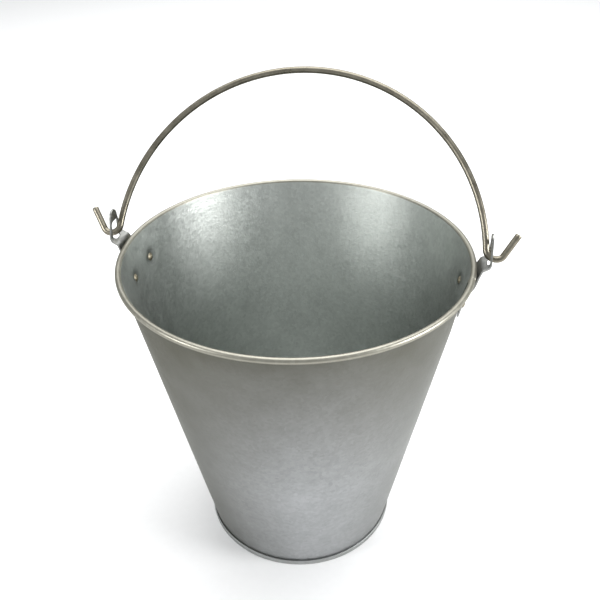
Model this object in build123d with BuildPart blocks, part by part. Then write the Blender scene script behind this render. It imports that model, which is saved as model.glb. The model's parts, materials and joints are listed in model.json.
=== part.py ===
from build123d import *
import math
import os

# A galvanised florist bucket with a plain wire bail, in millimetres.
# Origin: centre of the foot, on the floor. +Z up, +X along the bail's pivot axis, +Y the side the bail leans to.

# Sheet metal body
height = 294.0
rim_radius = 150.0
foot_radius = 89.6
sheet = 0.7

# Wired edge: the sheet is curled outwards round a steel ring
bead_radius = 2.5
wire_play = 0.05
curl_gap_angle = -122.0
curl_gap_width = 0.5

# Lock seam down the side of the wall
seam_angle = -10.0
seam_width = 5.0
seam_rise = 0.7

# Pressed bottom and the folded foot seam that holds it
foot_seam_radius = 92.2
foot_seam_height = 5.0
bottom_recess = 5.5
fold_play = 0.05

# Ears that carry the bail
ear_sheet = 1.6
ear_top = 27.0
ear_top_radius = 6.6
ear_neck_width = 22.0
ear_shoulder_width = 26.0
ear_shoulder_drop = 6.0
ear_base_width = 49.0
ear_base_top = -20.0
ear_base_bottom = -38.0
ear_leaves_wall = -20.0
ear_web_foot = (148.9, -12.0)
ear_web_head = (153.4, -0.3)
ear_inner_face = 159.3
ear_knee_drop = 2.1
ear_top_lean = 0.8
ear_slot_width = 13.0
ear_slot_height = 15.2
ear_slot_corner = 3.4
ear_bend_radius = 3.0
ear_blank_margin = 1.0

# Rivets, two to an ear
rivet_spacing = 37.0
rivet_drop = 28.0
rivet_shank_radius = 2.0
rivet_head_radius = 3.6
rivet_head_height = 1.5
rivet_play = 0.06
rivet_drill_length = 8.0

# Bail: one length of round wire, arched over the mouth and turned up outside the ears in two hooks
wire_radius = 2.75
pivot_height = 4.9
bail_lean = 35.8
bail_radius = 156.4
bail_centre_drop = 6.4
leg_bend_radius = 8.0
hook_start = 164.4
hook_radius = 6.4
hook_angle = 58.5
hook_length = 20.5
wire_end_chamfer = 0.4
slot_play = 0.4

# Worked out from the sizes above
bead_centre_radius = rim_radius - bead_radius
bead_centre_height = height - bead_radius
wall_top_radius = rim_radius - 2 * bead_radius
wall_foot_radius = foot_radius - sheet
flare = (wall_top_radius - wall_foot_radius) / bead_centre_height
flare_angle = math.degrees(math.atan(flare))
pivot_z = height + pivot_height


def wall_inside(z):
    """Inner radius of the wall at a height above the floor."""
    return wall_foot_radius + flare * z


def wall_outside(z):
    """Outer radius of the wall at a height above the floor."""
    return wall_inside(z) + sheet / math.cos(math.radians(flare_angle))


def rivet_plane(side, row):
    """Plane on the outside of the wall at one rivet: side is the ear, row is front or rear along Y."""
    z = height - rivet_drop
    radius = wall_outside(z)
    across = row * rivet_spacing / 2
    out = side * math.sqrt(radius**2 - across**2)
    normal = Vector(out / radius, across / radius, -flare)
    return Plane(origin=(out, across, z), z_dir=normal)


rivet_planes = {
    (side_name, row_name): rivet_plane(side, row)
    for side_name, side in (("right", 1), ("left", -1))
    for row_name, row in (("front", -1), ("rear", 1))
}


def export(part, name):
    """Label a finished piece and write it as its own STEP file."""
    part.label = name
    export_step(part, f"parts/{name}.step")


os.makedirs("parts", exist_ok=True)

# Wall: one conical sheet, folded out and up at the foot, curled round the ring at the rim
fold_floor = sheet + fold_play
fold_radius = foot_seam_radius - sheet - fold_play
fold_top = foot_seam_height - sheet
with BuildPart() as body_wall:
    with BuildSketch(Plane.XZ):
        with BuildLine():
            Polyline(
                (wall_top_radius, bead_centre_height),
                (wall_inside(fold_floor), fold_floor),
                (fold_radius, fold_floor),
                (fold_radius, fold_top),
            )
            offset(amount=sheet, kind=Kind.INTERSECTION, side=Side.LEFT)
        make_face()
        with Locations((bead_centre_radius, bead_centre_height)):
            Circle(bead_radius)
            Circle(bead_radius - sheet, mode=Mode.SUBTRACT)
            with PolarLocations(bead_radius - sheet / 2, 1, start_angle=curl_gap_angle):
                Rectangle(2 * sheet, curl_gap_width, mode=Mode.SUBTRACT)
    revolve(axis=Axis.Z)
    # Lock seam: a third layer of sheet on the inside, following the slope of the wall
    seam_foot = 2 * foot_seam_height
    seam_top = bead_centre_height - bead_radius
    seam_x = math.cos(math.radians(seam_angle))
    seam_y = math.sin(math.radians(seam_angle))
    seam_plane = Plane(
        origin=(wall_inside(seam_foot) * seam_x, wall_inside(seam_foot) * seam_y, seam_foot),
        x_dir=(-seam_y, seam_x, 0),
        z_dir=(flare * seam_x, flare * seam_y, 1),
    )
    with BuildSketch(seam_plane):
        with Locations((0, (seam_rise - sheet / 2) / 2)):
            Rectangle(seam_width, seam_rise + sheet / 2)
    extrude(amount=(seam_top - seam_foot) / math.cos(math.radians(flare_angle)))
    with Locations(*rivet_planes.values()):
        Cylinder(rivet_shank_radius + rivet_play, rivet_drill_length, mode=Mode.SUBTRACT)
export(body_wall.part, "body_wall")

# Ring of steel wire inside the curl
with BuildPart() as rim_wire:
    with BuildSketch(Plane.XZ):
        with Locations((bead_centre_radius, bead_centre_height)):
            Circle(bead_radius - sheet - wire_play)
    revolve(axis=Axis.Z)
export(rim_wire.part, "rim_wire")

# Bottom: a raised disc with a skirt that turns out and up round the fold of the wall
skirt_radius = wall_inside(fold_floor) - sheet - fold_play
with BuildPart() as bottom_panel:
    with BuildSketch(Plane.XZ):
        with BuildLine():
            Polyline(
                (0, bottom_recess),
                (skirt_radius, bottom_recess),
                (skirt_radius, 0),
                (foot_seam_radius, 0),
                (foot_seam_radius, foot_seam_height),
            )
            offset(amount=sheet, kind=Kind.INTERSECTION, side=Side.LEFT)
        make_face()
    revolve(axis=Axis.Z)
export(bottom_panel.part, "bottom_panel")

# Ear: a plate riveted to the wall, its web sloping out past the bead to an upright tab with a slot for the bail
ear_bottom_z = height + ear_base_bottom
ear_leave_z = height + ear_leaves_wall
ear_top_z = height + ear_top
ear_knee_z = pivot_z - ear_knee_drop
slot_centre_z = pivot_z - wire_radius - slot_play + ear_slot_height / 2
with BuildPart() as right_ear:
    with BuildSketch(Plane.XZ):
        with BuildLine():
            FilletPolyline(
                (wall_outside(ear_bottom_z) + wire_play, ear_bottom_z),
                (wall_outside(ear_leave_z) + wire_play, ear_leave_z),
                (ear_web_foot[0], height + ear_web_foot[1]),
                (ear_web_head[0], height + ear_web_head[1]),
                (ear_inner_face, ear_knee_z),
                (ear_inner_face - ear_top_lean, ear_top_z),
                radius=ear_bend_radius,
            )
            offset(amount=ear_sheet, side=Side.RIGHT)
        make_face()
    revolve(axis=Axis.Z)
    with BuildSketch(Plane.YZ.offset(rim_radius / 2)):
        with BuildLine():
            Polyline(
                (-ear_base_width / 2, ear_bottom_z - ear_blank_margin),
                (ear_base_width / 2, ear_bottom_z - ear_blank_margin),
                (ear_base_width / 2, height + ear_base_top),
                (ear_shoulder_width / 2, height - ear_shoulder_drop),
                (ear_neck_width / 2, pivot_z),
                (ear_top_radius, ear_top_z - ear_top_radius),
                (-ear_top_radius, ear_top_z - ear_top_radius),
                (-ear_neck_width / 2, pivot_z),
                (-ear_shoulder_width / 2, height - ear_shoulder_drop),
                (-ear_base_width / 2, height + ear_base_top),
                close=True,
            )
        make_face()
        with Locations((0, ear_top_z - ear_top_radius)):
            Circle(ear_top_radius)
    extrude(amount=rim_radius, mode=Mode.INTERSECT)
    with BuildSketch(Plane.YZ.offset(rim_radius)):
        with Locations((0, slot_centre_z)):
            RectangleRounded(ear_slot_width, ear_slot_height, ear_slot_corner)
    extrude(amount=rim_radius / 2, mode=Mode.SUBTRACT)
    with Locations(rivet_planes["right", "front"], rivet_planes["right", "rear"]):
        Cylinder(rivet_shank_radius + rivet_play, rivet_drill_length, mode=Mode.SUBTRACT)
export(right_ear.part, "right_ear")

with BuildPart() as left_ear:
    mirror(right_ear.part, about=Plane.YZ)
export(left_ear.part, "left_ear")

# Rivets: a shank with a low dome at each end, the inner head in the bucket and the outer head on the ear
for (side_name, row_name), plane in rivet_planes.items():
    with BuildPart() as rivet:
        inner_seat = -sheet - rivet_play
        outer_seat = ear_sheet + 3 * rivet_play
        with BuildSketch(plane.offset(inner_seat)):
            Circle(rivet_shank_radius)
        extrude(amount=outer_seat - inner_seat)
        dome_radius = (rivet_head_radius**2 + rivet_head_height**2) / (2 * rivet_head_height)
        for seat, turn in ((outer_seat, 1), (inner_seat, -1)):
            section = Plane(origin=plane.offset(seat).origin, x_dir=plane.x_dir, z_dir=-plane.y_dir * turn)
            with BuildSketch(section):
                with BuildLine():
                    Line((0, 0), (rivet_head_radius, 0))
                    RadiusArc((rivet_head_radius, 0), (0, rivet_head_height), -dome_radius)
                    Line((0, rivet_head_height), (0, 0))
                make_face()
            revolve(axis=Axis(plane.origin, plane.z_dir))
    export(rivet.part, f"{side_name}_{row_name}_rivet")

# Bail: half of its centre line, from the crown to a hook tip, then mirrored
bend_centre = math.sqrt((bail_radius + leg_bend_radius) ** 2 - (bail_centre_drop + leg_bend_radius) ** 2)
leg_share = bail_radius / (bail_radius + leg_bend_radius)
leg_end = (bend_centre * leg_share, (bail_centre_drop + leg_bend_radius) * leg_share - bail_centre_drop)
lean = math.radians(bail_lean)
bail_plane = Plane(origin=(0, 0, pivot_z), x_dir=(1, 0, 0), z_dir=(0, -math.cos(lean), math.sin(lean)))
with BuildPart() as bail:
    with BuildLine(bail_plane) as centre_line:
        crown = (0, bail_radius - bail_centre_drop)
        RadiusArc(crown, leg_end, bail_radius)
        RadiusArc(leg_end, (bend_centre, 0), -leg_bend_radius)
        Line((bend_centre, 0), (hook_start, 0))
        hook = JernArc((hook_start, 0), (1, 0), hook_radius, hook_angle)
        tip = PolarLine(hook @ 1, hook_length, hook_angle)
        mirror(about=Plane.YZ)
    with BuildSketch(Plane(origin=tip @ 1, z_dir=tip % 1)):
        Circle(wire_radius)
    sweep(path=centre_line.wires()[0])
    chamfer(bail.edges().filter_by(GeomType.CIRCLE).group_by(Axis.X)[-1], wire_end_chamfer)
    chamfer(bail.edges().filter_by(GeomType.CIRCLE).group_by(Axis.X)[0], wire_end_chamfer)
export(bail.part, "bail")
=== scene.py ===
import json
import math

import bpy
from mathutils import Matrix, Vector


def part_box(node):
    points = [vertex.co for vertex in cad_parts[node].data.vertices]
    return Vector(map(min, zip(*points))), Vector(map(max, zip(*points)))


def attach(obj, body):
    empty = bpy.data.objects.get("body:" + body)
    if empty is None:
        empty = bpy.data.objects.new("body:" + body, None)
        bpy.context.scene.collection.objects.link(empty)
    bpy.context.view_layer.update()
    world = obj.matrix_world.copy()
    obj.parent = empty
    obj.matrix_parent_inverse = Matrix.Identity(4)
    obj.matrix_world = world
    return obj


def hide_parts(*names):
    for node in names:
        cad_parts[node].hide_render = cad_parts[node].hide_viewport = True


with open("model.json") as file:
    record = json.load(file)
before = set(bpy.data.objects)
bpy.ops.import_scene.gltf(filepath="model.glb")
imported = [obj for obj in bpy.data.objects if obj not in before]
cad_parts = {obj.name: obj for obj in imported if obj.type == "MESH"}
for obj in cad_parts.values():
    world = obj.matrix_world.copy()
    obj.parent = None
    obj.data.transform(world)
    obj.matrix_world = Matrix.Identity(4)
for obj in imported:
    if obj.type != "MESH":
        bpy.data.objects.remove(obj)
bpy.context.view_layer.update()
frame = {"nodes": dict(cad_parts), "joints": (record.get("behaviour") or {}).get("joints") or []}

# Sizes of the object, from the frame where it has them, in metres
MM = 0.001
wall_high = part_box("body_wall")[1]
height = wall_high[2]
rim_radius = wall_high[0]
foot_seam_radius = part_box("bottom_panel")[1][0]
pivot = Vector(frame["joints"][0]["pos_m"])

sheet = 0.7 * MM
bead_radius = 2.5 * MM
foot_radius = 89.6 * MM
foot_seam_height = 5.0 * MM
bottom_recess = 5.5 * MM
bead_centre = (rim_radius - bead_radius, height - bead_radius)
wall_top_radius = rim_radius - 2 * bead_radius
wall_foot_radius = foot_radius - sheet
flare = (wall_top_radius - wall_foot_radius) / bead_centre[1]
flare_angle = math.atan(flare)

seam_angle = math.radians(-10.0)
seam_width = 5.0 * MM
seam_rise = 0.7 * MM
seam_play = 0.05 * MM
foot_band = 9.0 * MM
break_depth = 0.7 * MM

rivet_spacing = 37.0 * MM
rivet_drop = 28.0 * MM
rivet_head_radius = 3.6 * MM
rivet_ring_radius = 10.0 * MM
dimple_depth = 0.55 * MM
waviness = 0.10 * MM

wire_radius = 2.75 * MM
bail_lean = math.radians(35.8)
bail_radius = 156.4 * MM
bail_centre_drop = 6.4 * MM
leg_bend_radius = 8.0 * MM
hook_start = 164.4 * MM
hook_radius = 6.4 * MM
hook_angle = math.radians(58.5)
hook_length = 20.5 * MM

# The ear: its levels are counted from the top of the rim
ear_sheet = 1.6 * MM
ear_wall_gap = 0.05 * MM
ear_base_bottom = -38.0 * MM
ear_base_top = -20.0 * MM
ear_web_foot = (148.9 * MM, -12.0 * MM)
ear_web_head = (153.4 * MM, -0.3 * MM)
ear_knee = (159.3 * MM, 2.8 * MM)
ear_tip = (158.5 * MM, 27.0 * MM)
ear_base_half_width = 24.5 * MM
ear_shoulder_half_width = 13.0 * MM
ear_shoulder_level = -6.0 * MM
ear_neck_half_width = 11.0 * MM
ear_top_radius = 6.6 * MM
ear_corner_radius = 1.5 * MM
ear_bend_radius = 3.0 * MM
ear_edge_round = 0.35 * MM
slot_play = 0.4 * MM
slot_width = 13.0 * MM
slot_height = 15.2 * MM
slot_corner = 3.4 * MM


def wall_inside(z):
    return wall_foot_radius + flare * z


rivet_places = []
for side in (1, -1):
    for row in (-1, 1):
        level = height - rivet_drop
        across = row * rivet_spacing / 2
        out = math.sqrt((wall_inside(level) + sheet) ** 2 - across ** 2)
        rivet_places.append(Vector((side * out, across, level)))


# ---------------------------------------------------------------- materials

class Nodes:
    """Short names for building a node material."""

    def __init__(self, name):
        self.material = bpy.data.materials.new(name)
        self.material.use_nodes = True
        self.tree = self.material.node_tree
        self.tree.nodes.clear()
        self.output = self.tree.nodes.new("ShaderNodeOutputMaterial")
        self.shader = self.tree.nodes.new("ShaderNodeBsdfPrincipled")
        self.tree.links.new(self.shader.outputs["BSDF"], self.output.inputs["Surface"])
        self.place = self.tree.nodes.new("ShaderNodeTexCoord").outputs["Object"]

    def link(self, source, target):
        self.tree.links.new(source, target)

    def give(self, socket, value):
        """Links the socket when the value is another node's output, and sets it otherwise."""
        if hasattr(value, "links"):
            self.link(value, socket)
        else:
            socket.default_value = value

    def surface(self, **values):
        """Gives the shader its inputs; an underscore in a name stands for a space."""
        for name, value in values.items():
            self.give(self.shader.inputs[name.replace("_", " ")], value)

    def stretched(self, scale):
        mapping = self.tree.nodes.new("ShaderNodeMapping")
        self.link(self.place, mapping.inputs["Vector"])
        mapping.inputs["Scale"].default_value = scale
        return mapping.outputs["Vector"]

    def noise(self, scale, detail=3.0, roughness=0.55, vector=None):
        node = self.tree.nodes.new("ShaderNodeTexNoise")
        self.link(vector or self.place, node.inputs["Vector"])
        node.inputs["Scale"].default_value = scale
        node.inputs["Detail"].default_value = detail
        node.inputs["Roughness"].default_value = roughness
        return node.outputs["Fac"]

    def cells(self, scale):
        """A random shade for each crystal cell."""
        node = self.tree.nodes.new("ShaderNodeTexVoronoi")
        self.link(self.place, node.inputs["Vector"])
        node.inputs["Scale"].default_value = scale
        return node.outputs["Color"]

    def math(self, operation, a, b=0.0):
        node = self.tree.nodes.new("ShaderNodeMath")
        node.operation = operation
        self.give(node.inputs[0], a)
        self.give(node.inputs[1], b)
        return node.outputs[0]

    def times(self, a, b):
        return self.math("MULTIPLY", a, b)

    def less(self, a, b):
        return self.math("SUBTRACT", a, b)

    def total(self, *parts):
        """The sum of values, each given with its weight."""
        whole = self.times(*parts[0])
        for value, weight in parts[1:]:
            whole = self.math("ADD", whole, self.times(value, weight))
        return whole

    def range(self, value, low, high, to_low=0.0, to_high=1.0):
        node = self.tree.nodes.new("ShaderNodeMapRange")
        self.link(value, node.inputs["Value"])
        for name, number in (("From Min", low), ("From Max", high), ("To Min", to_low), ("To Max", to_high)):
            node.inputs[name].default_value = number
        return node.outputs["Result"]

    def mix(self, share, a, b):
        """Colour a where the share is 0 and colour b where it is 1."""
        node = self.tree.nodes.new("ShaderNodeMix")
        node.data_type = "RGBA"
        factor_socket, a_socket, b_socket = node.inputs[0], node.inputs[6], node.inputs[7]
        self.give(factor_socket, share)
        self.give(a_socket, a)
        self.give(b_socket, b)
        return node.outputs[2]

    def bump(self, height_value, distance, strength=1.0, normal=None):
        node = self.tree.nodes.new("ShaderNodeBump")
        node.inputs["Strength"].default_value = strength
        node.inputs["Distance"].default_value = distance
        self.link(height_value, node.inputs["Height"])
        if normal is not None:
            self.link(normal, node.inputs["Normal"])
        return node.outputs["Normal"]

    def distance_from(self, spot):
        node = self.tree.nodes.new("ShaderNodeVectorMath")
        node.operation = "DISTANCE"
        self.link(self.place, node.inputs[0])
        node.inputs[1].default_value = spot
        return node.outputs["Value"]

    def axis(self, name):
        split = self.tree.nodes.new("ShaderNodeSeparateXYZ")
        self.link(self.place, split.inputs[0])
        return split.outputs[name]


def painted_rim_flank_shade_share(n, cloud):
    """Share of painted shade on the outside, standing in for the darker surroundings it reflects: most under
    the rim and on the flanks.
    """
    high = n.range(n.axis("Z"), 0.40 * height, 0.98 * height, 0.0, 0.92)
    left_flank = n.range(n.axis("X"), 0.1 * rim_radius, -0.85 * rim_radius, 0.0, 0.97)
    right_flank = n.range(n.axis("X"), 0.3 * rim_radius, rim_radius, 0.0, 0.45)
    unshaded = n.less(1.0, high)
    unshaded = n.times(unshaded, n.less(1.0, left_flank))
    unshaded = n.times(unshaded, n.less(1.0, right_flank))
    return n.times(n.less(1.0, unshaded), n.range(cloud, 0.2, 0.6, 0.82, 1.0))


def painted_rivet_shade(n):
    """Painted shade in rings round the rivets, standing in for the shading of the dimples where the sheet is
    drawn.
    """
    nearest = n.distance_from(rivet_places[0])
    for rivet in rivet_places[1:]:
        nearest = n.math("MINIMUM", nearest, n.distance_from(rivet))
    return n.range(nearest, rivet_head_radius, rivet_ring_radius, 0.6, 0.0)


def painted_seam_shadow(n):
    """Painted shadow: dark lines along both edges of the lock seam."""
    turned = n.less(n.math("ARCTAN2", n.axis("Y"), n.axis("X")), seam_angle)
    arc = n.times(n.math("ABSOLUTE", turned), rim_radius)
    from_edge = n.math("ABSOLUTE", n.less(arc, seam_width / 2))
    return n.range(from_edge, 0.8 * MM, 2.4 * MM, 0.85, 0.0)


def galvanised(name, light, dark, roughness, peel=0.12 * MM, paint_rim_flank_shade=False, seam=False):
    """Satin zinc on sheet steel: fine spangle, grain, cloudy patches and faint handling marks, with painted
    shade round the rivets and at the foot seam, and where asked painted shade under the rim and on the flanks
    and painted shadow along the seam.
    """
    n = Nodes(name)
    spangle = n.cells(360.0)
    grain = n.noise(1700.0, detail=4.0)
    cloud = n.noise(14.0, detail=5.0, roughness=0.6)
    patch = n.noise(60.0, detail=6.0, roughness=0.7)
    tone = n.total((spangle, 0.30), (grain, 0.30), (cloud, 0.50), (patch, 0.45))
    colour = n.mix(n.range(tone, 0.50, 1.02), dark, light)
    # Painted shade in the groove at the foot seam, fading out just above it and broken up by noise
    low = n.range(n.axis("Z"), foot_seam_height - 0.4 * MM, foot_seam_height + 2.2 * MM, 0.45, 0.0)
    low = n.times(low, n.range(n.noise(160.0, detail=5.0), 0.35, 0.65, 0.35, 1.0))
    colour = n.mix(low, colour, (0.30, 0.31, 0.29, 1))
    # Rubbed streaks where it has been nested and handled
    streak = n.noise(1.0, detail=5.0, roughness=0.7, vector=n.stretched((240.0, 240.0, 22.0)))
    rub = n.times(n.range(streak, 0.60, 0.78), n.range(cloud, 0.50, 0.66))
    rubbed = (1.15 * light[0], 1.15 * light[1], 1.15 * light[2], 1)
    colour = n.mix(n.times(rub, 0.25), colour, rubbed)
    # Painted shade under the rim and on the flanks of the outside, standing in for the darker surroundings it
    # reflects
    if paint_rim_flank_shade:
        colour = n.mix(painted_rim_flank_shade_share(n, cloud), colour, (0.085, 0.083, 0.062, 1))
    # Painted shade round each rivet, standing in for the shading of its dimple
    colour = n.mix(painted_rivet_shade(n), colour, (0.12, 0.125, 0.12, 1))
    # Painted shadow along both edges of the seam
    if seam:
        colour = n.mix(painted_seam_shadow(n), colour, (0.05, 0.055, 0.05, 1))
    rough = n.range(n.total((spangle, 0.35), (cloud, 0.65)), 0.25, 0.75, *roughness)
    rough = n.less(rough, n.times(rub, 0.08))
    orange_peel = n.bump(n.noise(430.0, detail=3.0), peel, 0.9)
    fine = n.bump(grain, peel / 3, 0.9, orange_peel)
    n.surface(Base_Color=colour, Metallic=1.0, Roughness=rough, Normal=fine)
    n.surface(Specular_Tint=(0.62, 0.62, 0.60, 1))
    return n.material


def drawn_wire(name, light, dark):
    """Zinc-coated drawn wire: fine grain, dull patches and small nicks."""
    n = Nodes(name)
    grain = n.noise(900.0, detail=4.0)
    patch = n.noise(70.0, detail=4.0, roughness=0.65)
    spots = n.noise(420.0, detail=3.0, roughness=0.7)
    tone = n.range(n.total((grain, 0.4), (patch, 0.6)), 0.35, 0.65)
    dull = n.range(spots, 0.60, 0.72)
    colour = n.mix(n.times(dull, 0.5), n.mix(tone, dark, light), (0.20, 0.18, 0.13, 1))
    rough = n.total((n.range(patch, 0.3, 0.7, 0.24, 0.40), 1.0), (dull, 0.2))
    nicks = n.bump(n.less(grain, n.times(dull, 0.6)), 0.03 * MM, 0.7)
    n.surface(Base_Color=colour, Metallic=1.0, Roughness=rough, Normal=nicks)
    n.surface(Specular_Tint=(0.28, 0.26, 0.21, 1))
    return n.material


def stamped(name, light, dark, roughness):
    """Plated stamping: mottled plating and light tumbling scratches."""
    n = Nodes(name)
    mottle = n.noise(210.0, detail=5.0, roughness=0.65)
    grain = n.noise(2100.0, detail=3.0)
    scratch = n.noise(1.0, detail=4.0, roughness=0.7, vector=n.stretched((1300.0, 1300.0, 150.0)))
    tone = n.range(n.total((mottle, 0.7), (grain, 0.3)), 0.35, 0.65)
    mark = n.range(scratch, 0.62, 0.72)
    colour = n.mix(n.times(mark, 0.4), n.mix(tone, dark, light), (0.80, 0.81, 0.80, 1))
    rough = n.range(mottle, 0.3, 0.7, *roughness)
    bumps = n.bump(n.less(mottle, n.times(mark, 0.5)), 0.04 * MM, 0.8)
    fine = n.bump(grain, 0.02 * MM, 0.6, bumps)
    n.surface(Base_Color=colour, Metallic=1.0, Roughness=rough, Normal=fine)
    n.surface(Specular_Tint=(0.5, 0.5, 0.48, 1))
    return n.material


inside_zinc = galvanised("galvanised_inside", light=(0.66, 0.685, 0.66, 1), dark=(0.48, 0.50, 0.485, 1),
                         roughness=(0.30, 0.42), peel=0.19 * MM, seam=True)
# The outside gets a darker copy of the sheet's zinc than the inside: painted shade, standing in for the
# darker surroundings the outside reflects
outside_zinc = galvanised("galvanised_outside", light=(0.50, 0.51, 0.52, 1), dark=(0.34, 0.35, 0.355, 1),
                          roughness=(0.36, 0.46), paint_rim_flank_shade=True)
bottom_zinc = galvanised("galvanised_bottom", light=(0.52, 0.53, 0.53, 1), dark=(0.40, 0.41, 0.41, 1),
                         roughness=(0.40, 0.52))
bead_zinc = galvanised("galvanised_bead", light=(0.36, 0.35, 0.30, 1), dark=(0.27, 0.26, 0.22, 1),
                       roughness=(0.34, 0.46), peel=0.01 * MM)
wire_zinc = drawn_wire("bail_wire_zinc", light=(0.29, 0.27, 0.22, 1), dark=(0.17, 0.155, 0.12, 1))
ring_zinc = drawn_wire("rim_ring_zinc", light=(0.50, 0.49, 0.46, 1), dark=(0.36, 0.35, 0.32, 1))
ear_zinc = stamped("ear_zinc", light=(0.38, 0.385, 0.37, 1), dark=(0.22, 0.22, 0.205, 1),
                   roughness=(0.30, 0.44))
rivet_brass = stamped("rivet_yellow_zinc", light=(0.34, 0.31, 0.23, 1), dark=(0.16, 0.14, 0.10, 1),
                      roughness=(0.38, 0.52))


# ---------------------------------------------------------------- mesh helpers

def mesh_object(name, vertices, faces, materials, body, replaces, material_of=None):
    """A shaded-smooth mesh that rides on a body and stands for a CAD node."""
    mesh = bpy.data.meshes.new(name)
    mesh.from_pydata(vertices, [], faces)
    mesh.validate()
    for material in materials:
        mesh.materials.append(material)
    if material_of is not None:
        for polygon, index in zip(mesh.polygons, material_of):
            polygon.material_index = index
    mesh.shade_smooth()
    piece = bpy.data.objects.new(name, mesh)
    bpy.context.scene.collection.objects.link(piece)
    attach(piece, body)
    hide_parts(replaces)
    return piece


def smooth_step(x, low, high):
    t = min(1.0, max(0.0, (x - low) / (high - low)))
    return t * t * (3 - 2 * t)


def arc_points(centre, radius, start, end, count):
    """Points on an arc in a section plane, angles in degrees, both ends included."""
    points = []
    for i in range(count):
        angle = math.radians(start + (end - start) * i / (count - 1))
        points.append((centre[0] + radius * math.cos(angle), centre[1] + radius * math.sin(angle)))
    return points


def quad_between(column, following, row, above, rows):
    """One face of a grid whose columns hold the given number of rows."""
    return (column * rows + row, following * rows + row, following * rows + above, column * rows + above)


def between(a, b, count):
    """Points from a to b, a left out and b included."""
    return [(a[0] + (b[0] - a[0]) * i / count, a[1] + (b[1] - a[1]) * i / count) for i in range(1, count + 1)]


# ---------------------------------------------------------------- wall

def wall_shift(place):
    """How far the sheet stands inwards of its cone: dimpled round each rivet, and slightly wavy."""
    shift = 0.0
    for rivet in rivet_places:
        gap = (place - rivet).length
        if gap < 40 * MM:
            ring = smooth_step(gap, 2.8 * MM, 9.0 * MM) * (1 - smooth_step(gap, 10.0 * MM, 26.0 * MM))
            shift += dimple_depth * ring
    angle = math.atan2(place.y, place.x)
    level = place.z / height
    wave = math.sin(3 * angle + 0.7) * math.sin(2.3 * level + 0.4)
    wave += 0.6 * math.sin(5 * angle - 1.1 + 3.0 * level)
    clear_of_foot = smooth_step(place.z, 8 * MM, 40 * MM)
    clear_of_rim = 1 - smooth_step(place.z, height - 14 * MM, height - 6 * MM)
    return shift + waviness * wave * clear_of_foot * clear_of_rim


def wall_columns():
    """Where the wall's mesh columns stand, as arcs along the rim from the seam's centre line, once round."""
    near = 14 * MM
    columns = [i * 0.25 * MM for i in range(-16, 17)]
    for i in range(1, 11):
        columns += [4 * MM + i * MM, -4 * MM - i * MM]
    columns.sort()
    count = 340
    start, end = near, 2 * math.pi * rim_radius - near
    return columns + [start + (end - start) * i / count for i in range(1, count)]


def build_wall():
    """The conical sheet with its curled rim, lock seam, rivet dimples and folded foot, as one closed mesh."""
    fold_floor = sheet + seam_play
    fold_radius = foot_seam_radius - sheet - seam_play
    fold_top = foot_seam_height - sheet
    sheet_across = sheet / math.cos(flare_angle)
    tangent = 180 - math.degrees(flare_angle)
    curl_end = -128.0
    fine_from = height - 42 * MM

    # The section runs up the outside, round the curl and down the inside, as (radius, height) points
    section = [(fold_radius, fold_top)]
    section += arc_points((fold_radius - sheet / 2, fold_top), sheet / 2, 30, 150, 4)
    section += between(section[-1], (fold_radius - sheet, fold_floor + sheet), 3)
    section += between(section[-1], (wall_inside(fold_floor + sheet) + sheet_across, fold_floor + sheet), 2)
    outside_low = section[-1]
    outside_high = (wall_inside(fine_from) + sheet_across, fine_from)
    section += between(outside_low, outside_high, 46)
    under_bead = bead_centre[1] - 0.6 * MM
    outside_top = (wall_inside(under_bead) + sheet_across, under_bead)
    section += between(outside_high, outside_top, 36)
    inner_curl = bead_radius - sheet
    section += arc_points(bead_centre, inner_curl, tangent, curl_end, 30)
    first_bead = len(section) - 1
    section += arc_points(bead_centre, bead_radius, curl_end, tangent, 40)
    first_inside = len(section) - 1
    inside_high = (wall_inside(fine_from), fine_from)
    section += between(section[-1], inside_high, 36)
    section += between(inside_high, (wall_inside(fold_floor), fold_floor), 46)
    section += between(section[-1], (fold_radius, fold_floor), 4)
    bead_rows = range(first_bead, first_inside + 1)

    vertices, faces, material_of = [], [], []
    columns = wall_columns()
    for arc in columns:
        off_seam = arc if arc < math.pi * rim_radius else arc - 2 * math.pi * rim_radius
        # Columns near the seam keep their distance from it all the way down, so that the strip stays as wide
        kept = 1 - smooth_step(abs(off_seam), 10 * MM, 120 * MM)
        on_seam = 1 - smooth_step(abs(off_seam), seam_width / 2 - 0.15 * MM, seam_width / 2 + 0.35 * MM)
        on_break = 1 - smooth_step(abs(off_seam - seam_width / 2), 0.1 * MM, 0.45 * MM)
        for row, (radius, z) in enumerate(section):
            angle = seam_angle + off_seam / rim_radius * (1 + (rim_radius / radius - 1) * kept)
            outwards = Vector((math.cos(angle), math.sin(angle), 0))
            place = outwards * radius + Vector((0, 0, z))
            inner = row >= first_inside
            above_foot = z >= foot_band
            inwards = 0.0
            if above_foot and z < bead_centre[1] - 1.0 * MM and (inner or row not in bead_rows):
                inwards += wall_shift(place)
            if above_foot and inner:
                inwards += seam_rise * on_seam * smooth_step(z, foot_band, foot_band + 2 * MM)
            if row in bead_rows:
                about = outwards * bead_centre[0] + Vector((0, 0, bead_centre[1]))
                place += (about - place).normalized() * break_depth * on_break
            vertices.append(place - outwards * inwards)
    rows = len(section)
    for column in range(len(columns)):
        following = (column + 1) % len(columns)
        for row in range(rows):
            above = (row + 1) % rows
            faces.append(quad_between(column, following, row, above, rows))
            on_bead = row in bead_rows and above in bead_rows
            material_of.append(2 if on_bead else 1 if row >= first_inside else 0)
    mesh_object("wall_sheet", vertices, faces, [outside_zinc, inside_zinc, bead_zinc], "bucket",
                "body_wall", material_of)


# ---------------------------------------------------------------- bottom

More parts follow.
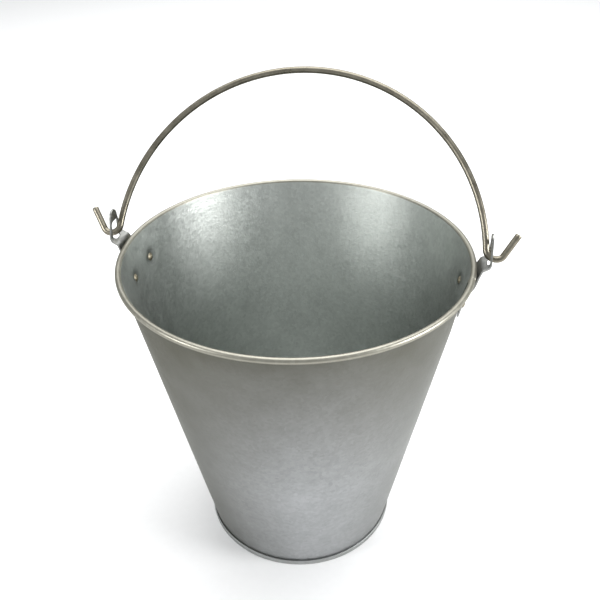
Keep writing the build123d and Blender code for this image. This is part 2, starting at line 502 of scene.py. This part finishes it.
def build_bottom():
    """The pressed bottom: disc with a stiffening ring, skirt, and the hem folded up round the wall."""
    skirt = wall_inside(sheet) - sheet - 2 * seam_play
    r = 0.9 * MM
    hem_round = 0.6 * MM
    over, under = [], []
    ring_radius, ring_width, ring_rise = 66 * MM, 5 * MM, 1.2 * MM
    disc = [i * 2.0 * MM for i in range(42)] + [skirt - 2.5 * MM]
    for x in disc:
        lift = ring_rise * math.exp(-((x - ring_radius) / ring_width) ** 2)
        over.append((x, bottom_recess + sheet + lift))
        under.append((x, bottom_recess + lift))
    section = list(under)
    section += arc_points((skirt - sheet - r, bottom_recess - r), r, 90, 0, 6)
    section += between(section[-1], (skirt - sheet, sheet / 2), 3)
    section += arc_points((skirt - sheet / 2, sheet / 2), sheet / 2, 180, 270, 4)
    section += between(section[-1], (foot_seam_radius - hem_round, 0), 3)
    section += arc_points((foot_seam_radius - hem_round, hem_round), hem_round, 270, 360, 6)
    section += between(section[-1], (foot_seam_radius, foot_seam_height - sheet / 2), 3)
    section += arc_points((foot_seam_radius - sheet / 2, foot_seam_height - sheet / 2), sheet / 2, 20, 180, 7)
    section += between(section[-1], (foot_seam_radius - sheet, sheet), 3)
    section += between(section[-1], (skirt, sheet), 3)
    section += between(section[-1], (skirt, bottom_recess - r), 3)
    section += arc_points((skirt - sheet - r, bottom_recess - r), r + sheet, 0, 90, 8)
    section += reversed(over)
    columns = 288
    rows = len(section)
    vertices, faces = [], []
    for column in range(columns):
        angle = 2 * math.pi * column / columns
        for radius, z in section:
            vertices.append((radius * math.cos(angle), radius * math.sin(angle), z))
    for column in range(columns):
        following = (column + 1) % columns
        for row in range(rows - 1):
            faces.append(quad_between(column, following, row, row + 1, rows))
    piece = mesh_object("pressed_bottom", vertices, faces, [bottom_zinc], "bucket",
                        "bottom_panel")
    weld = piece.modifiers.new("centre", "WELD")
    weld.merge_threshold = 0.01 * MM


# ---------------------------------------------------------------- bail

def bail_line():
    """Centre line of the right half of the bail, crown to hook tip, as (x, up the bail) points."""
    reach = bail_radius + leg_bend_radius
    rise = bail_centre_drop + leg_bend_radius
    bend_centre = (math.sqrt(reach ** 2 - rise ** 2), leg_bend_radius)
    leg_end = math.degrees(math.asin(rise / reach))
    line = arc_points((0, -bail_centre_drop), bail_radius, 90, leg_end, 120)
    line += arc_points(bend_centre, leg_bend_radius, 180 + leg_end, 270, 12)[1:]
    line += between(line[-1], (hook_start, 0), 4)
    turn = math.degrees(hook_angle)
    line += arc_points((hook_start, hook_radius), hook_radius, -90, -90 + turn, 14)[1:]
    foot = line[-1]
    tip = (foot[0] + hook_length * math.cos(hook_angle), foot[1] + hook_length * math.sin(hook_angle))
    line += between(foot, tip, 10)
    return line


def build_bail():
    """Round wire along the whole centre line, with chamfered ends."""
    half = bail_line()
    line = [(-x, s) for x, s in reversed(half)] + half[1:]
    up = Vector((0, math.sin(bail_lean), math.cos(bail_lean)))
    side = Vector((0, -math.cos(bail_lean), math.sin(bail_lean)))
    points = [pivot + Vector((x, 0, 0)) + up * s for x, s in line]
    vertices, faces, rings = [], [], []
    around = 28
    last = len(points) - 1
    # Each end closes in steps of (distance from the end, share of the wire's radius)
    end_steps = ((0.0, 0.0), (0.0, 0.86), (0.10 * MM, 0.95), (0.35 * MM, 1.0))
    for inset, share in end_steps:
        rings.append((points[0] + (points[1] - points[0]).normalized() * inset, 0, share))
    for i in range(1, last):
        rings.append((points[i], i, 1.0))
    for inset, share in reversed(end_steps):
        rings.append((points[last] - (points[last] - points[last - 1]).normalized() * inset, last, share))
    for centre, i, share in rings:
        before, after = points[max(0, i - 1)], points[min(last, i + 1)]
        along = (after - before).normalized()
        across = side.cross(along).normalized()
        for k in range(around):
            angle = 2 * math.pi * k / around
            outwards = across * math.cos(angle) + side * math.sin(angle)
            vertices.append(centre + outwards * wire_radius * share)
    for ring in range(len(rings) - 1):
        for k in range(around):
            following = (k + 1) % around
            faces.append((ring * around + k, ring * around + following,
                          (ring + 1) * around + following, (ring + 1) * around + k))
    piece = mesh_object("bail_wire", vertices, faces, [wire_zinc], "bail", "bail")
    weld = piece.modifiers.new("ends", "WELD")
    weld.merge_threshold = 0.005 * MM


# ---------------------------------------------------------------- ears

def filleted(points, radius):
    """A polyline with all its corners rounded to one radius, as closely spaced points."""
    steps = 8
    line = [Vector(points[0])]
    for before, corner, after in zip(points, points[1:], points[2:]):
        before, corner, after = Vector(before), Vector(corner), Vector(after)
        back, forth = (before - corner).normalized(), (after - corner).normalized()
        half = back.angle(forth) / 2
        reach = radius / math.tan(half)
        centre = corner + (back + forth).normalized() * radius / math.sin(half)
        start, end = corner + back * reach - centre, corner + forth * reach - centre
        for i in range(steps + 1):
            line.append(centre + start.lerp(end, i / steps).normalized() * radius)
    line.append(Vector(points[-1]))
    return line


def ear_inner_line():
    """Section of the ear's inner face as (radius, height) points, lowest first."""
    points = []
    for level in (ear_base_bottom, ear_base_top):
        wall_outside = wall_inside(height + level) + sheet / math.cos(flare_angle)
        points.append((wall_outside + ear_wall_gap, height + level))
    for radius, level in (ear_web_foot, ear_web_head, ear_knee, ear_tip):
        points.append((radius, height + level))
    return filleted(points, ear_bend_radius)


def on_ear(line, y, z, depth):
    """A point of the right ear: y across, z the height on its inner face, depth out through its sheet."""
    for low, high in zip(line, line[1:]):
        if z <= high.y or high is line[-1]:
            break
    share = (z - low.y) / (high.y - low.y)
    spot = low + (high - low) * share
    along = (high - low).normalized()
    radius = spot.x + along.y * depth
    level = spot.y - along.x * depth
    return Vector((math.sqrt(radius ** 2 - y ** 2), y, level))


def ray_hit(loop, origin, direction):
    """Where a ray from inside a closed loop first crosses it."""
    best = None
    for a, b in zip(loop, loop[1:] + loop[:1]):
        edge = b - a
        cross = direction.x * edge.y - direction.y * edge.x
        if abs(cross) < 1e-12:
            continue
        gap = a - origin
        t = (gap.x * edge.y - gap.y * edge.x) / cross
        u = (gap.x * direction.y - gap.y * direction.x) / cross
        if t > 0 and -1e-6 <= u <= 1 + 1e-6 and (best is None or t < best):
            best = t
    return origin + direction * best


def ear_outline():
    """The ear's outline as a loop of (y, z) points, anticlockwise from the base's lower right corner."""
    base_low = (ear_base_half_width, height + ear_base_bottom)
    base_high = (ear_base_half_width, height + ear_base_top)
    shoulder = (ear_shoulder_half_width, height + ear_shoulder_level)
    neck = (ear_neck_half_width, pivot.z)
    right = [Vector(point) for point in (base_low, base_high, shoulder, neck)]
    left = [Vector((-point.x, point.y)) for point in reversed(right)]
    top_centre = (0, height + ear_tip[1] - ear_top_radius)
    top = [Vector(point) for point in arc_points(top_centre, ear_top_radius, 0, 180, 33)]
    corners = right + top + left
    rounded = right[:2] + left[-2:]
    outline = []
    for i, point in enumerate(corners):
        if point in rounded:
            before, after = corners[i - 1], corners[(i + 1) % len(corners)]
            outline += filleted((before, point, after), ear_corner_radius)[1:-1]
        else:
            outline.append(point)
    return outline


def slot_outline():
    """The ear's slot as a loop of (y, z) points, anticlockwise: the wire hangs near its lower end."""
    low = pivot.z - wire_radius - slot_play + slot_corner
    high = low + slot_height - 2 * slot_corner
    half = slot_width / 2 - slot_corner
    loop = []
    for y, z, start in ((half, low, -90), (half, high, 0), (-half, high, 90), (-half, low, 180)):
        loop += [Vector(point) for point in arc_points((y, z), slot_corner, start, start + 90, 9)]
    return loop


def build_ear(side):
    """One ear as a pressed plate with its slot and rounded edges, from rays between slot and outline."""
    line = ear_inner_line()
    outline, slot = ear_outline(), slot_outline()
    middle = Vector((0, height + 4.0 * MM))
    even_rays = [2 * math.pi * i / 220 for i in range(220)]
    corner_rays = [math.atan2(p.y - middle.y, p.x) % (2 * math.pi) for p in outline + slot]
    angles = sorted({round(angle, 6) for angle in even_rays + corner_rays})
    # The rounded edge in steps of (distance in from the edge, depth below the face)
    turns = [math.radians(degrees) for degrees in (90, 60, 30, 0)]
    rounding = [(ear_edge_round * (1 - math.cos(a)), ear_edge_round * (1 - math.sin(a))) for a in turns]
    shares = [i / 22 for i in range(1, 22)]
    vertices, faces = [], []
    for angle in angles:
        ray = Vector((math.cos(angle), math.sin(angle)))
        near, far = ray_hit(slot, middle, ray), ray_hit(outline, middle, ray)
        reach = (far - near).length - 2 * ear_edge_round
        face = [near + ray * (ear_edge_round + reach * share) for share in shares]
        # Out along the inner face, over the outer edge, back along the outer face and over the slot's edge
        path = [(near + ray * inset, depth) for inset, depth in reversed(rounding)]
        path += [(spot, 0.0) for spot in face]
        path += [(far - ray * inset, depth) for inset, depth in rounding]
        path += [(far - ray * inset, ear_sheet - depth) for inset, depth in reversed(rounding)]
        path += [(spot, ear_sheet) for spot in reversed(face)]
        path += [(near + ray * inset, ear_sheet - depth) for inset, depth in rounding]
        for spot, depth in path:
            place = on_ear(line, spot.x, spot.y, depth)
            vertices.append((place.x * side, place.y, place.z))
    rows = len(vertices) // len(angles)
    for column in range(len(angles)):
        following = (column + 1) % len(angles)
        for row in range(rows):
            quad = quad_between(column, following, row, (row + 1) % rows, rows)
            faces.append(quad if side > 0 else tuple(reversed(quad)))
    name = "right" if side > 0 else "left"
    mesh_object(f"{name}_ear_plate", vertices, faces, [ear_zinc], "bucket", f"{name}_ear")


# ---------------------------------------------------------------- carried-over CAD nodes

def finish_cad(node, material):
    """Gives a CAD node its material and closes its mesh."""
    piece = frame["nodes"][node]
    piece.data.materials.clear()
    piece.data.materials.append(material)
    weld = piece.modifiers.new("weld", "WELD")
    weld.merge_threshold = 0.02 * MM


build_wall()
build_bottom()
build_bail()
build_ear(1)
build_ear(-1)
for side in ("right", "left"):
    for row in ("front", "rear"):
        finish_cad(f"{side}_{row}_rivet", rivet_brass)
finish_cad("rim_wire", ring_zinc)


# ---------------------------------------------------------------- stage

def build_floor():
    """A wide, plain, pale floor."""
    n = Nodes("pale_floor")
    grain = n.noise(140.0, detail=4.0)
    colour = n.mix(grain, (0.90, 0.90, 0.90, 1), (0.94, 0.94, 0.94, 1))
    n.surface(Base_Color=colour, Roughness=0.8)
    mesh = bpy.data.meshes.new("floor")
    half = 6.0
    corners = [(-half, -half, 0), (half, -half, 0), (half, half, 0), (-half, half, 0)]
    mesh.from_pydata(corners, [], [(0, 1, 2, 3)])
    mesh.materials.append(n.material)
    floor = bpy.data.objects.new("floor", mesh)
    bpy.context.scene.collection.objects.link(floor)


def area_light(name, place, target, size, power):
    """A soft rectangular lamp at a place, turned to its target; metres and watts."""
    light = bpy.data.lights.new(name, "AREA")
    light.shape = "RECTANGLE"
    light.size, light.size_y = size
    light.energy = power
    holder = bpy.data.objects.new(name, light)
    holder.location = place
    holder.rotation_euler = (Vector(target) - Vector(place)).to_track_quat("-Z", "Y").to_euler()
    bpy.context.scene.collection.objects.link(holder)


def build_world():
    """The even light of the room."""
    world = bpy.data.worlds.new("studio")
    world.use_nodes = True
    background = world.node_tree.nodes["Background"]
    background.inputs["Color"].default_value = (0.97, 0.99, 1.0, 1)
    background.inputs["Strength"].default_value = 0.6
    bpy.context.scene.world = world


def build_camera():
    """Looks down at the bucket from the front, a little to the right of the bail's square view."""
    target = Vector((3.0 * MM, 0, 244.3 * MM))
    distance = 629.7 * MM
    azimuth, elevation, roll = math.radians(10.31), math.radians(33.26), math.radians(-1.03)
    level = math.cos(elevation)
    back = Vector((math.sin(azimuth) * level, -math.cos(azimuth) * level, math.sin(elevation)))
    data = bpy.data.cameras.new("camera")
    data.lens = 42.86
    data.sensor_width = 36.0
    data.clip_start = 0.01
    camera = bpy.data.objects.new("camera", data)
    turn = Matrix.Rotation(azimuth, 4, "Z") @ Matrix.Rotation(math.pi / 2 - elevation, 4, "X")
    turn = turn @ Matrix.Rotation(roll, 4, "Z")
    camera.matrix_world = Matrix.Translation(target + back * distance) @ turn
    bpy.context.scene.collection.objects.link(camera)
    bpy.context.scene.camera = camera


build_floor()
build_world()
build_camera()
mouth = (0, 0, height)
area_light("overhead", (0.0, 0.3, 1.7), (0, 0.3, 0), (1.4, 1.2), 16)
area_light("sweep", (0.0, 1.6, 1.9), (0, 1.6, 0), (3.0, 2.0), 36)
area_light("key", (1.13, -0.20, 0.62), mouth, (0.45, 0.42), 11)
area_light("accent", (-0.80, -0.60, 0.62), mouth, (0.2, 0.2), 3.6)

bpy.context.scene.view_settings.view_transform = "Standard"
